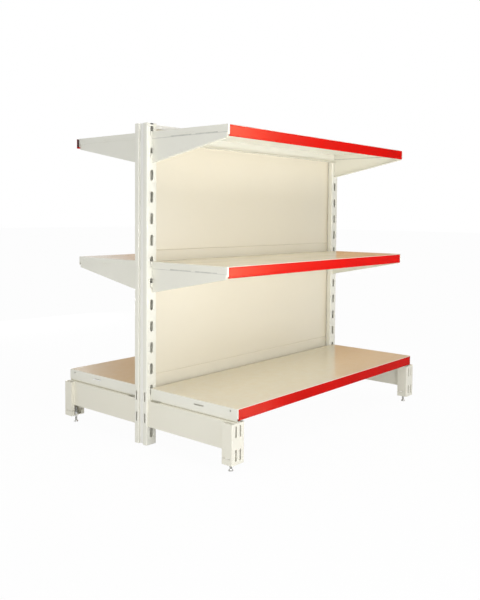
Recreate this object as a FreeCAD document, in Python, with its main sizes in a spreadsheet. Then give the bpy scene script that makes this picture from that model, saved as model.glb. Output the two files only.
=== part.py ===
"""Double-sided gondola shelving, one bay: two slotted uprights, back panels, three levels on each side.

Millimetres. +Z is up, the front is -Y, and the origin is on the floor under the middle of the bay.
Every size is a cell of the Dimensions sheet or a formula of such cells.
"""
import FreeCAD, Part
import math
import os
from types import SimpleNamespace

import Sketcher

DIMENSIONS = {
    # Uprights: two lipped channels, back to back on a core
    "bay_spacing": 1007,
    "slot_pitch": 66,
    "post_width": 40,
    "post_depth": 56,
    "post_bottom": 4,
    "post_top": 992,
    "channel_depth": 18,
    "channel_lip": 12,
    "post_wall": 2,
    "post_bend": 3,
    "slot_width": 12,
    "slot_height": 33,
    "slot_first_top": 983,
    "top_notch_depth": 5,
    "top_cap_depth": 8,
    "side_slot_width": 6,
    "side_slot_height": 30,
    "side_slot_first_top": 169,
    "core_width": 26,
    "core_opening": 8.4,
    # Tie bar, the plugs that carry it and the pins between them
    "plug_height": 62,
    "tie_length": 1016,
    "tie_height": 50,
    "pin_diameter": 5,
    "pin_length": 30,
    "pin_hole_gap": 0.05,
    # Back panels and their cap rail
    "panel_thickness": 8,
    "panel_sheet": 0.8,
    "panel_bend": 2,
    "panel_length": 990,
    "panel_seam_low": 214,
    "panel_seam_high": 604,
    "cap_wall": 1,
    "cap_height": 13,
    "cap_gap": 0.2,
    # Trays: upper shelves and base decks
    "tray_sheet": 0.8,
    "tray_length": 1005,
    "tray_edge_round": 0.7,
    "tray_rear_gap": 0.5,
    "tray_return": 12,
    "tray_end_clearance": 1.8,
    "top_level": 967,
    "upper_reach": 310,
    "upper_skirt": 21,
    "upper_rear_flange": 33,
    "base_length": 1014,
    "base_level": 180,
    "base_reach": 357,
    "base_return": 14,
    "base_return_setback": 50,
    "base_bend": 5,
    "base_box_depth": 42,
    "stiffener_width": 60,
    "stiffener_depth": 18,
    "stiffener_flange": 12,
    "stiffener_sheet": 1,
    "skirt_hole_radius": 2.5,
    "skirt_hole_setback": 28,
    "skirt_hole_drop": 9,
    "skirt_slot_length": 40,
    "skirt_slot_height": 4,
    "skirt_slot_setback": 150,
    "skirt_slot_drop": 13,
    "skirt_notch_length": 88,
    "skirt_notch_depth": 2.5,
    # Price strips
    "strip_length": 988,
    "base_strip_length": 1004,
    "loose_strip_slide": 16,
    "strip_height": 31.5,
    "strip_wall": 1.8,
    "strip_drop": 1.8,
    "roll_radius": 2.6,
    "roll_bore": 1.6,
    # Brackets and hooks
    "bracket_thickness": 3,
    "bracket_rear_height": 95,
    "bracket_front_height": 36,
    "bracket_tip_gap": 5,
    "bracket_flange": 8,
    "bracket_flange_wall": 2.2,
    "bracket_flange_rear_gap": 6,
    "bracket_flange_tip_gap": 15,
    "bracket_gap": 0.2,
    "hook_seat": 3,
    "hook_cheek": 6,
    "hook_height": 14.4,
    "hook_drop": 11.5,
    "hook_depth": 5,
    "hook_gap": 0.15,
    # Base legs
    "beam_width": 28,
    "beam_bottom": 62.5,
    "beam_top": 142,
    "leg_wall": 2,
    "beam_end_plate": 2.5,
    "beam_web_cut": 42,
    "beam_window_gap": 0.5,
    "leg_reach": 356,
    "leg_width": 52,
    "leg_depth": 38,
    "leg_bottom": 25,
    "leg_top": 141.5,
    "leg_bend": 3,
    "leg_slot_top": 134,
    "leg_slot_width": 6,
    "leg_slot_spacing": 18,
    "leg_tab_slot_length": 30,
    "leg_tab_slot_height": 1.6,
    "leg_tab_slot_rise": 17,
    "blade_length": 36,
    "blade_bottom": 70,
    # Levelling feet
    "foot_setback": 27,
    "foot_stud_diameter": 8,
    "foot_stud_top": 52,
    "foot_disc_diameter": 15,
    "foot_disc_height": 5,
    "foot_disc_round": 1,
    "foot_hole_diameter": 9,
    "nut_radius": 7.5,
    "nut_bore_gap": 0.05,
    "weld_nut_height": 6.5,
    "lock_nut_height": 4,
}
SLOT_COUNT = 15
SIDE_SLOT_COUNT = 2
LEG_SLOT_ROWS = 2
TOP_SHELF_SLOT = 1
MID_SHELF_SLOT = 7
LEG_SLOT = 13
NOTCHES_PER_SKIRT = 2
LOOSE_STRIP = ("rear", "top")
TOUCH = 1e-4
LEAST_CUT = 1
SIDES = {"front": -1, "rear": 1}
ENDS = {"left": -1, "right": 1}

doc = FreeCAD.newDocument("gondola_shelving")


class Size:
    """A length: its value now, and the sheet formula that it follows."""

    def __init__(self, value, formula):
        self.value = float(value)
        self.formula = formula

    def __add__(self, other):
        other = as_size(other)
        return Size(self.value + other.value, f"({self.formula} + {other.formula})")

    def __sub__(self, other):
        other = as_size(other)
        return Size(self.value - other.value, f"({self.formula} - {other.formula})")

    def __mul__(self, factor):
        factor = as_size(factor)
        return Size(self.value * factor.value, f"({self.formula} * {factor.formula})")

    def __truediv__(self, divisor):
        divisor = as_size(divisor)
        return Size(self.value / divisor.value, f"({self.formula} / {divisor.formula})")

    def __neg__(self):
        return Size(-self.value, f"(-1 * {self.formula})")

    __radd__ = __add__
    __rmul__ = __mul__


def as_size(number):
    return number if isinstance(number, Size) else Size(number, f"({number})")


def lower(first, second):
    return first if first.value <= second.value else second


def upper(first, second):
    return first if first.value >= second.value else second


def fill_sheet():
    """Writes the driving dimensions to the sheet and returns them by name."""
    sheet = doc.addObject("Spreadsheet::Sheet", "Dimensions")
    names = {}
    for row, (name, value) in enumerate(DIMENSIONS.items(), start=1):
        sheet.set(f"A{row}", name)
        sheet.set(f"B{row}", str(value))
        sheet.setAlias(f"B{row}", name)
        names[name] = Size(value, f"Dimensions.{name}")
    doc.recompute()
    return SimpleNamespace(**names)


dim = fill_sheet()
nodes = []
cuts = []


# Drawing and feature helpers

def new_body(label, own_node=True):
    """A body that is a node of its own, or one piece of a group."""
    body = doc.addObject("PartDesign::Body", label)
    body.Label = label
    if own_node:
        nodes.append(body)
    return body


def bind(obj, path, size):
    obj.setExpression(path, size.formula)


def origin_feature(body, role):
    return next(f for f in body.Origin.OriginFeatures if f.Role == role)


def new_sketch(body, role, offset):
    sketch = body.newObject("Sketcher::SketchObject", f"{body.Name}_sketch")
    sketch.AttachmentSupport = [(origin_feature(body, role), "")]
    sketch.MapMode = "FlatFace"
    sketch.AttachmentOffset = FreeCAD.Placement(FreeCAD.Vector(0, 0, offset.value), FreeCAD.Rotation())
    bind(sketch, "AttachmentOffset.Base.z", offset)
    return sketch


def pin(sketch, geometry, point, u, v):
    """Holds one point of a sketch at (u, v) from the sketch's origin."""
    rows = sketch.addConstraint([
        Sketcher.Constraint("DistanceX", -1, 1, geometry, point, u.value),
        Sketcher.Constraint("DistanceY", -1, 1, geometry, point, v.value),
    ])
    bind(sketch, f"Constraints[{rows[0]}]", u)
    bind(sketch, f"Constraints[{rows[1]}]", v)


def draw_outline(sketch, points):
    """A closed outline of straight lines through points (u, v)."""
    first = sketch.GeometryCount
    count = len(points)
    corners = [FreeCAD.Vector(u.value, v.value, 0) for u, v in points]
    lines = [Part.LineSegment(corners[i], corners[(i + 1) % count]) for i in range(count)]
    sketch.addGeometry(lines, False)
    sketch.addConstraint([Sketcher.Constraint("Coincident", first + i, 2, first + (i + 1) % count, 1)
                          for i in range(count)])
    for i, (u, v) in enumerate(points):
        pin(sketch, first + i, 1, u, v)


def draw_rectangle(sketch, us, vs):
    u0, u1 = us
    v0, v1 = vs
    draw_outline(sketch, [(u0, v0), (u1, v0), (u1, v1), (u0, v1)])


def draw_circle(sketch, u, v, radius):
    row = sketch.addGeometry(Part.Circle(FreeCAD.Vector(u.value, v.value, 0), FreeCAD.Vector(0, 0, 1),
                                         radius.value), False)
    pin(sketch, row, 3, u, v)
    held = sketch.addConstraint(Sketcher.Constraint("Radius", row, radius.value))
    bind(sketch, f"Constraints[{held}]", radius)


def draw_upright_slot(sketch, u, v_top, length, width):
    """A slot with round ends, long side along v."""
    radius = width / 2
    high = v_top - radius
    low = v_top - length + radius
    first = sketch.GeometryCount
    r = radius.value
    x, y_high, y_low = u.value, high.value, low.value
    z_axis = FreeCAD.Vector(0, 0, 1)
    top_circle = Part.Circle(FreeCAD.Vector(x, y_high, 0), z_axis, r)
    low_circle = Part.Circle(FreeCAD.Vector(x, y_low, 0), z_axis, r)
    top, left, bottom, right = first, first + 1, first + 2, first + 3
    sketch.addGeometry([
        Part.ArcOfCircle(top_circle, 0, math.pi),
        Part.LineSegment(FreeCAD.Vector(x - r, y_high, 0), FreeCAD.Vector(x - r, y_low, 0)),
        Part.ArcOfCircle(low_circle, math.pi, 2 * math.pi),
        Part.LineSegment(FreeCAD.Vector(x + r, y_low, 0), FreeCAD.Vector(x + r, y_high, 0)),
    ], False)
    sketch.addConstraint([
        Sketcher.Constraint("Tangent", top, 2, left, 1),
        Sketcher.Constraint("Tangent", left, 2, bottom, 1),
        Sketcher.Constraint("Tangent", bottom, 2, right, 1),
        Sketcher.Constraint("Tangent", right, 2, top, 1),
    ])
    pin(sketch, top, 3, u, high)
    pin(sketch, bottom, 3, u, low)
    held = sketch.addConstraint(Sketcher.Constraint("Radius", top, r))
    bind(sketch, f"Constraints[{held}]", radius)


def extrude(body, sketch, length, kind="Pad"):
    feature = body.newObject(f"PartDesign::{kind}", f"{body.Name}_{kind.lower()}")
    feature.Profile = sketch
    feature.Length = length.value
    bind(feature, "Length", length)
    sketch.Visibility = False
    body.Tip = feature
    if kind == "Pocket":
        cuts.append(feature)
    return feature


def add_block(body, xs, ys, zs):
    """Adds a box between the given pairs of coordinates."""
    sketch = new_sketch(body, "XY_Plane", lower(*zs))
    draw_rectangle(sketch, xs, ys)
    return extrude(body, sketch, upper(*zs) - lower(*zs))


def cut_block(body, xs, ys, zs):
    """Cuts a box between the given pairs of coordinates."""
    sketch = new_sketch(body, "XY_Plane", upper(*zs))
    draw_rectangle(sketch, xs, ys)
    return extrude(body, sketch, upper(*zs) - lower(*zs), "Pocket")


def add_section_up(body, points, zs):
    """Extrudes an XY outline from the lower to the upper of two heights."""
    sketch = new_sketch(body, "XY_Plane", lower(*zs))
    draw_outline(sketch, points)
    return extrude(body, sketch, upper(*zs) - lower(*zs))


def add_section_along_x(body, points, xs):
    """Extrudes a YZ outline between two X positions."""
    sketch = new_sketch(body, "YZ_Plane", lower(*xs))
    draw_outline(sketch, points)
    return extrude(body, sketch, upper(*xs) - lower(*xs))


def add_section_along_y(body, points, ys):
    """Extrudes an XZ outline between two Y positions."""
    sketch = new_sketch(body, "XZ_Plane", -upper(*ys))
    draw_outline(sketch, points)
    return extrude(body, sketch, upper(*ys) - lower(*ys))


def cut_along_x(body, xs, draw):
    """Cuts what draw(sketch) puts on a YZ sketch, between two X positions."""
    sketch = new_sketch(body, "YZ_Plane", upper(*xs))
    draw(sketch)
    return extrude(body, sketch, upper(*xs) - lower(*xs), "Pocket")


def cut_along_y(body, ys, draw):
    """Cuts what draw(sketch) puts on an XZ sketch, between two Y positions."""
    sketch = new_sketch(body, "XZ_Plane", -lower(*ys))
    draw(sketch)
    return extrude(body, sketch, upper(*ys) - lower(*ys), "Pocket")


def repeat_down(body, feature, count, step):
    """Repeats a cut downwards at the given step."""
    pattern = body.newObject("PartDesign::LinearPattern", f"{body.Name}_pattern")
    pattern.Originals = [feature]
    pattern.Direction = (origin_feature(body, "Z_Axis"), [""])
    pattern.Reversed = True
    pattern.Occurrences = count
    reach = step * (count - 1)
    pattern.Length = reach.value
    bind(pattern, "Length", reach)
    body.Tip = pattern
    cuts.append(pattern)
    return pattern


def round_edges(body, radius, chosen):
    """Rounds the edges of the body so far for which chosen(edge) is true."""
    doc.recompute()
    base = body.Tip
    names = [f"Edge{i}" for i, edge in enumerate(base.Shape.Edges, start=1) if chosen(edge)]
    fillet = body.newObject("PartDesign::Fillet", f"{body.Name}_fillet")
    fillet.Base = (base, names)
    fillet.Radius = radius.value
    bind(fillet, "Radius", radius)
    body.Tip = fillet
    return fillet


def runs_through(edge, axis, **at):
    """True for a straight edge along axis (0, 1 or 2) whose middle has the given coordinates."""
    if not isinstance(edge.Curve, Part.Line) or abs(abs(edge.Curve.Direction[axis]) - 1) > TOUCH:
        return False
    middle = edge.CenterOfMass

    def near_one(coordinate, values):
        return any(abs(coordinate - value) < TOUCH for value in values)

    return all(near_one(getattr(middle, key), values) for key, values in at.items())


# Uprights

def slot_bottom(number):
    """Height of the lower end of an upright slot, counted from the top."""
    return dim.slot_first_top - dim.slot_height - dim.slot_pitch * (number - 1)


def post_axis(end):
    return dim.bay_spacing / 2 * end


def from_face(side, distance):
    """Y position at a distance in front of the uprights' face on the given side."""
    return (dim.post_depth / 2 + distance) * side


def upright_channel(side_name, side, end_name, end):
    """Lipped channel with a column of slots in its face and two slots low in each flange."""
    body = new_body(f"upright_channel_{side_name}_{end_name}")
    axis = post_axis(end)
    half = dim.post_width / 2
    face = from_face(side, 0)
    face_inside = from_face(side, -dim.post_wall)
    lip = from_face(side, -dim.channel_depth)
    lip_inside = from_face(side, -dim.channel_depth + dim.post_wall)
    outline = []
    for x_out, x_in, x_lip in (
        (axis - half, axis - half + dim.post_wall, axis - half + dim.channel_lip),
        (axis + half, axis + half - dim.post_wall, axis + half - dim.channel_lip),
    ):
        arm = [(x_out, face), (x_out, lip), (x_lip, lip), (x_lip, lip_inside), (x_in, lip_inside),
               (x_in, face_inside)]
        outline = outline + (arm if not outline else arm[::-1])
    add_section_up(body, outline, (dim.post_bottom, dim.post_top))
    outer_x = [(axis - half).value, (axis + half).value]
    inner_x = [(axis - half + dim.post_wall).value, (axis + half - dim.post_wall).value]
    round_edges(body, dim.post_bend, lambda e: runs_through(e, 2, x=outer_x, y=[face.value, lip.value]))
    round_edges(body, dim.post_bend - dim.post_wall,
                lambda e: runs_through(e, 2, x=inner_x, y=[face_inside.value, lip_inside.value]))
    half_slot = dim.slot_width / 2
    cut_block(body, (axis - half_slot, axis + half_slot), (face, face_inside),
              (dim.post_top - dim.top_notch_depth, dim.post_top))
    slot = cut_along_y(body, (face, face_inside), lambda sketch: draw_upright_slot(
        sketch, axis, dim.slot_first_top, dim.slot_height, dim.slot_width))
    repeat_down(body, slot, SLOT_COUNT, dim.slot_pitch)
    middle = from_face(side, -dim.channel_depth / 2)
    side_slot = cut_along_x(body, (axis - half, axis + half), lambda sketch: draw_upright_slot(
        sketch, middle, dim.side_slot_first_top, dim.side_slot_height, dim.side_slot_width))
    repeat_down(body, side_slot, SIDE_SLOT_COUNT, dim.slot_pitch)


def upright_core(end_name, end):
    """Section between the two channels. It opens towards the bay and takes the panels' edges."""
    body = new_body(f"upright_core_{end_name}")
    axis = post_axis(end)
    web = axis + dim.core_width / 2 * end
    web_inside = web - dim.post_wall * end
    mouth = axis - dim.core_width / 2 * end
    mouth_inside = mouth + dim.post_wall * end
    half_depth = dim.post_depth / 2 - dim.channel_depth
    half_inside = half_depth - dim.post_wall
    half_opening = dim.core_opening / 2
    arm = [(web, half_depth), (mouth, half_depth), (mouth, half_opening), (mouth_inside, half_opening),
           (mouth_inside, half_inside), (web_inside, half_inside)]
    mirrored = [(x, -y) for x, y in arm]
    add_section_up(body, arm + mirrored[::-1], (dim.post_bottom, dim.post_top))


def upright_caps():
    """Moulded caps pressed into the top of the channels, with corners like the channels' inside."""
    caps = []
    for side_name, side in SIDES.items():
        for end_name, end in ENDS.items():
            body = new_body(f"upright_cap_{side_name}_{end_name}", own_node=False)
            axis = post_axis(end)
            inside = dim.post_width / 2 - dim.post_wall
            xs = (axis - inside, axis + inside)
            ys = (from_face(side, -dim.post_wall), from_face(side, -dim.channel_depth + dim.post_wall))
            add_block(body, xs, ys, (dim.post_top - dim.top_cap_depth, dim.post_top))
            corner_x = [x.value for x in xs]
            corner_y = [y.value for y in ys]
            round_edges(body, dim.post_bend - dim.post_wall,
                        lambda e: runs_through(e, 2, x=corner_x, y=corner_y))
            caps.append(body)
    group("upright_caps", caps)


def plug_top():
    return dim.post_bottom + dim.plug_height


def cut_pin_hole(body, axis, zs):
    """Round hole on an upright's axis for a locating pin."""
    sketch = new_sketch(body, "XY_Plane", upper(*zs))
    draw_circle(sketch, axis, as_size(0), dim.pin_diameter / 2 + dim.pin_hole_gap)
    extrude(body, sketch, upper(*zs) - lower(*zs), "Pocket")


def core_plug(end_name, end):
    """Block pressed into the foot of a core. It carries the tie bar's end."""
    body = new_body(f"core_plug_{end_name}")
    axis = post_axis(end)
    inside = dim.core_width / 2 - dim.post_wall
    half_depth = dim.post_depth / 2 - dim.channel_depth - dim.post_wall
    add_block(body, (axis - inside, axis + inside), (-half_depth, half_depth), (dim.post_bottom, plug_top()))
    cut_pin_hole(body, axis, (plug_top() - dim.pin_length / 2, plug_top()))


def tie_bar():
    """Flat bar between the uprights. Its ends stand on the plugs, on locating pins."""
    body = new_body("tie_bar")
    half = dim.tie_length / 2
    add_block(body, (-half, half), (-dim.panel_thickness / 2, dim.panel_thickness / 2),
              (plug_top(), plug_top() + dim.tie_height))
    for end in ENDS.values():
        cut_pin_hole(body, post_axis(end), (plug_top(), plug_top() + dim.pin_length / 2))


# Back panels

def panel_skin(tier, zs, side_name, side):
    """Shallow sheet tray. Two of them stand back to back in the cores."""
    body = new_body(f"back_panel_{tier}_{side_name}")
    half = dim.panel_length / 2
    face = dim.panel_thickness / 2 * side
    inside = face - dim.panel_sheet * side
    low, high = zs
    add_block(body, (-half, half), (as_size(0), face), zs)
    front_edges = [low.value, high.value]
    round_edges(body, dim.panel_bend, lambda e: runs_through(e, 0, y=[face.value], z=front_edges))
    edge = dim.panel_sheet
    cut_along_y(body, (as_size(0), inside), lambda sketch: draw_rectangle(
        sketch, (edge - half, half - edge), (low + edge, high - edge)))


def panel_cap():
    """Rail of U section over the panels' top edge."""
    body = new_body("panel_cap")
    half = dim.bay_spacing / 2 - dim.core_width / 2 - dim.cap_gap
    inner = dim.panel_thickness / 2 + dim.cap_gap
    outer = inner + dim.cap_wall
    low = dim.post_top - dim.cap_height
    under = dim.post_top - dim.cap_wall
    arm = [(outer, dim.post_top), (outer, low), (inner, low), (inner, under)]
    mirrored = [(-y, z) for y, z in arm]
    add_section_along_x(body, arm + mirrored[::-1], (-half, half))


# Brackets and trays

def hook_points(side, root, bottom):
    """Outline of one hook through an upright slot, from its lower root to its upper root."""
    behind = from_face(side, -dim.post_wall - dim.hook_gap)
    back = from_face(side, -dim.post_wall - dim.hook_gap - dim.hook_depth)
    top = bottom + dim.hook_height
    point = bottom - dim.hook_drop
    return [(root, bottom), (behind, bottom), (behind, point), (back, point), (back, top), (root, top)]


def hook_bottom(slot_number):
    """Height of a hook's lower edge, which rests on the slot's round end above its lowest point."""
    return slot_bottom(slot_number) + dim.hook_seat


def hook_faces(end):
    """X positions of the outer and inner face of a hook plate, just inside the trays' skirt."""
    outer = (dim.tray_length / 2 - dim.tray_sheet - dim.bracket_gap) * end
    return outer, outer - dim.bracket_thickness * end


def level_height(slot_number):
    return dim.top_level - dim.slot_pitch * (slot_number - TOP_SHELF_SLOT)


def bracket(side_name, side, level_name, slot_number, end_name, end):
    """Tapered plate with two hooks, a cheek that widens each hook, and a flange along its lower edge."""
    body = new_body(f"bracket_{side_name}_{level_name}_{end_name}")
    level = level_height(slot_number)
    top = level - dim.tray_sheet
    root = from_face(side, dim.bracket_gap)
    tip = from_face(side, dim.upper_reach - dim.strip_wall - dim.bracket_tip_gap)
    rear_low = level - dim.bracket_rear_height
    front_low = level - dim.bracket_front_height
    outer, inner = hook_faces(end)
    upper_hook = hook_points(side, root, hook_bottom(slot_number))
    lower_hook = hook_points(side, root, hook_bottom(slot_number + 1))
    outline = [(root, rear_low)] + lower_hook + upper_hook + [(root, top), (tip, top), (tip, front_low)]
    add_section_along_x(body, outline, (outer, inner))
    for hook in (upper_hook, lower_hook):
        add_section_along_x(body, hook, (outer, outer + dim.hook_cheek * end))
    reach = dim.upper_reach - dim.strip_wall - dim.bracket_tip_gap - dim.bracket_gap

    def lower_edge(distance):
        share = distance / reach
        return root + distance * side, rear_low + (front_low - rear_low) * share

    y0, z0 = lower_edge(dim.bracket_flange_rear_gap)
    y1, z1 = lower_edge(reach - dim.bracket_flange_tip_gap)
    strip = [(y0, z0), (y1, z1), (y1, z1 + dim.bracket_flange_wall), (y0, z0 + dim.bracket_flange_wall)]
    add_section_along_x(body, strip, (inner, inner - dim.bracket_flange * end))


def tray(label, side, level, length, reach, skirt, rear_flange, front_return):
    """Folded sheet tray: deck, front lip with a return, rear flange with a return, and side skirts."""
    body = new_body(label)
    sheet = dim.tray_sheet
    half = length / 2
    clear = hook_faces(1)[1] - dim.tray_end_clearance
    under = level - sheet
    lip = from_face(side, reach - dim.strip_wall)
    lip_inside = from_face(side, reach - dim.strip_wall - sheet)
    rear = from_face(side, dim.tray_rear_gap)
    rear_inside = from_face(side, dim.tray_rear_gap + sheet)
    lip_low = level - dim.strip_drop - dim.strip_height + dim.roll_radius * 2
    rear_low = level - rear_flange
    skirt_low = level - skirt
    inward = -side
    add_block(body, (-half, half), (lip, rear), (under, level))
    round_edges(body, dim.tray_edge_round, lambda e: runs_through(e, 0, y=[lip.value], z=[level.value])
                or runs_through(e, 1, x=[-half.value, half.value], z=[level.value]))
    add_block(body, (-half, half), (lip, lip_inside), (lip_low, under))
    add_block(body, (-clear, clear), (lip_inside, lip_inside + front_return * inward),
              (lip_low, lip_low + sheet))
    add_block(body, (-clear, clear), (rear, rear_inside), (rear_low, under))
    add_block(body, (-clear, clear), (rear_inside, rear_inside - dim.tray_return * inward),
              (rear_low, rear_low + sheet))
    for end in ENDS.values():
        add_block(body, (half * end, (half - sheet) * end), (lip_inside, rear), (skirt_low, under))
    front = from_face(side, reach)
    cut_along_x(body, (-half, half), lambda sketch: draw_circle(
        sketch, front + dim.skirt_hole_setback * inward, level - dim.skirt_hole_drop, dim.skirt_hole_radius))
    slot_middle = front + dim.skirt_slot_setback * inward
    slot_half = dim.skirt_slot_length / 2
    slot_ys = (slot_middle - slot_half, slot_middle + slot_half)
    slot_top = level - dim.skirt_slot_drop
    cut_along_x(body, (-half, half), lambda sketch: draw_rectangle(
        sketch, slot_ys, (slot_top, slot_top - dim.skirt_slot_height)))
    return body, skirt_low, lip_low


def upper_shelf(side_name, side, level_name, slot_number):
    """Upper shelf: its skirts end high, with two shallow notches in their lower edge."""
    level = level_height(slot_number)
    body, skirt_low, _ = tray(f"shelf_{side_name}_{level_name}", side, level, dim.tray_length,
                              dim.upper_reach, dim.upper_skirt, dim.upper_rear_flange, dim.tray_return)
    half = dim.tray_length / 2
    step = dim.upper_reach / (NOTCHES_PER_SKIRT + 1)
    for number in range(1, NOTCHES_PER_SKIRT + 1):
        middle = from_face(side, step * number + dim.skirt_slot_length / 2)
        notch_half = dim.skirt_notch_length / 2
        notch_ys = (middle - notch_half, middle + notch_half)
        cut_along_x(body, (-half, half), lambda sketch: draw_rectangle(
            sketch, notch_ys, (skirt_low, skirt_low + dim.skirt_notch_depth)))


def base_deck(side_name, side):
    """Base deck: a box along its front lip, and skirts that stand on the legs with a bent return."""
    skirt = dim.base_level - dim.beam_top
    body, skirt_low, lip_low = tray(f"base_deck_{side_name}", side, dim.base_level, dim.base_length,
                                    dim.base_reach, skirt, skirt, dim.base_box_depth)
    outer = dim.base_length / 2
    inner = outer - dim.tray_sheet
    under = dim.base_level - dim.tray_sheet
    lip_inside = from_face(side, dim.base_reach - dim.strip_wall - dim.tray_sheet)
    rear = from_face(side, dim.tray_rear_gap)
    return_top = skirt_low + dim.tray_sheet
    clear = hook_faces(1)[1] - dim.tray_end_clearance
    box_back = lip_inside - dim.base_box_depth * side
    add_block(body, (-clear, clear), (box_back, box_back + dim.tray_sheet * side), (lip_low, under))
    for end in ENDS.values():
        add_block(body, (inner * end, (inner - dim.base_return) * end), (lip_inside, rear),
                  (skirt_low, return_top))
    inner_x = [-inner.value, inner.value]
    outer_x = [-outer.value, outer.value]
    round_edges(body, dim.base_bend - dim.tray_sheet,
                lambda e: runs_through(e, 1, x=inner_x, z=[return_top.value]))
    round_edges(body, dim.base_bend, lambda e: runs_through(e, 1, x=outer_x, z=[skirt_low.value]))
    for end in ENDS.values():
        cut_block(body, ((outer - dim.base_bend) * end, (inner - dim.base_return) * end),
                  (from_face(side, dim.base_return_setback), rear), (skirt_low, return_top))


def base_stiffener(side_name, side):
    """Hat section welded under a base deck, in line with the slots in its skirts."""
    body = new_body(f"base_stiffener_{side_name}")
    middle = from_face(side, dim.base_reach - dim.skirt_slot_setback)
    sheet = dim.stiffener_sheet
    half = dim.stiffener_width / 2
    wide = half + dim.stiffener_flange
    top = dim.base_level - dim.tray_sheet
    low = top - dim.stiffener_depth
    arm = [(wide, top), (wide, top - sheet), (half, top - sheet), (half, low)]
    hollow = [(half - sheet, low + sheet), (half - sheet, top)]
    outline = [(middle - y, z) for y, z in arm] + [(middle + y, z) for y, z in arm[::-1]]
    outline = outline + [(middle + y, z) for y, z in hollow[::-1]] + [(middle - y, z) for y, z in hollow]
    clear = hook_faces(1)[1] - dim.tray_end_clearance
    add_section_along_x(body, outline, (-clear, clear))


def price_strip(side_name, side, level_name, level, reach, length, slide):
    """Flat strip on the tray's lip, with an open roll along its lower edge. It can slide along the lip."""
    body = new_body(f"price_strip_{side_name}_{level_name}")
    left = length / -2 - slide
    face = from_face(side, reach)
    back = from_face(side, reach - dim.strip_wall)
    top = level - dim.strip_drop
    bottom = top - dim.strip_height
    roll_y = from_face(side, reach - dim.roll_radius)
    roll_z = bottom + dim.roll_radius
    sketch = new_sketch(body, "YZ_Plane", left)
    draw_rectangle(sketch, (face, back), (roll_z, top))
    extrude(body, sketch, length)
    sketch = new_sketch(body, "YZ_Plane", left)
    draw_circle(sketch, roll_y, roll_z, dim.roll_radius)
    extrude(body, sketch, length)
    cut_along_x(body, (left, left + length), lambda sketch: draw_circle(
        sketch, roll_y, roll_z, dim.roll_bore))


# Base legs and levelling feet

def leg_beam(side_name, side, end_name, end):
    """Inverted U between the upright and the leg's front post, closed at the upright by a plate."""
    body = new_body(f"leg_beam_{side_name}_{end_name}")
    axis = post_axis(end)
    half = dim.beam_width / 2
    inside = half - dim.leg_wall
    web = dim.beam_top - dim.leg_wall
    arm = [(axis - half, dim.beam_bottom), (axis - half, dim.beam_top), (axis + half, dim.beam_top),
           (axis + half, dim.beam_bottom), (axis + inside, dim.beam_bottom), (axis + inside, web),
           (axis - inside, web), (axis - inside, dim.beam_bottom)]
    rear = from_face(side, 0)
    add_section_along_y(body, arm, (rear, from_face(side, dim.leg_reach - dim.leg_wall)))
    plate = from_face(side, dim.beam_end_plate)
    web_end = from_face(side, dim.beam_web_cut)
    add_block(body, (axis - inside, axis + inside), (rear, plate), (dim.beam_bottom, web))
    cut_block(body, (axis - inside, axis + inside), (rear, web_end), (web, dim.beam_top))
    blade_outer, blade_inner = hook_faces(end)
    gap = dim.beam_window_gap
    bottom = hook_bottom(LEG_SLOT + 1)
    cut_block(body, (blade_outer + gap * end, blade_inner - gap * end), (rear, plate),
              (bottom - gap, bottom + dim.hook_height + gap))


def leg_hook(side_name, side, end_name, end):
    """Blade inside the beam's rear end, with two hooks through the upright's slots."""
    body = new_body(f"leg_hook_{side_name}_{end_name}")
    plate = from_face(side, dim.beam_end_plate)
    root = from_face(side, dim.bracket_gap)
    front = from_face(side, dim.blade_length)
    upper_hook = hook_points(side, root, hook_bottom(LEG_SLOT))
    lower_hook = hook_points(side, plate, hook_bottom(LEG_SLOT + 1))
    above_beam = dim.beam_top + dim.beam_window_gap
    outline = [(front, dim.blade_bottom), (plate, dim.blade_bottom)] + lower_hook
    outline = outline + [(plate, above_beam), (root, above_beam)] + upper_hook
    outline = outline[:-1] + [(front, hook_bottom(LEG_SLOT) + dim.hook_height)]
    add_section_along_x(body, outline, hook_faces(end))


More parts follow.
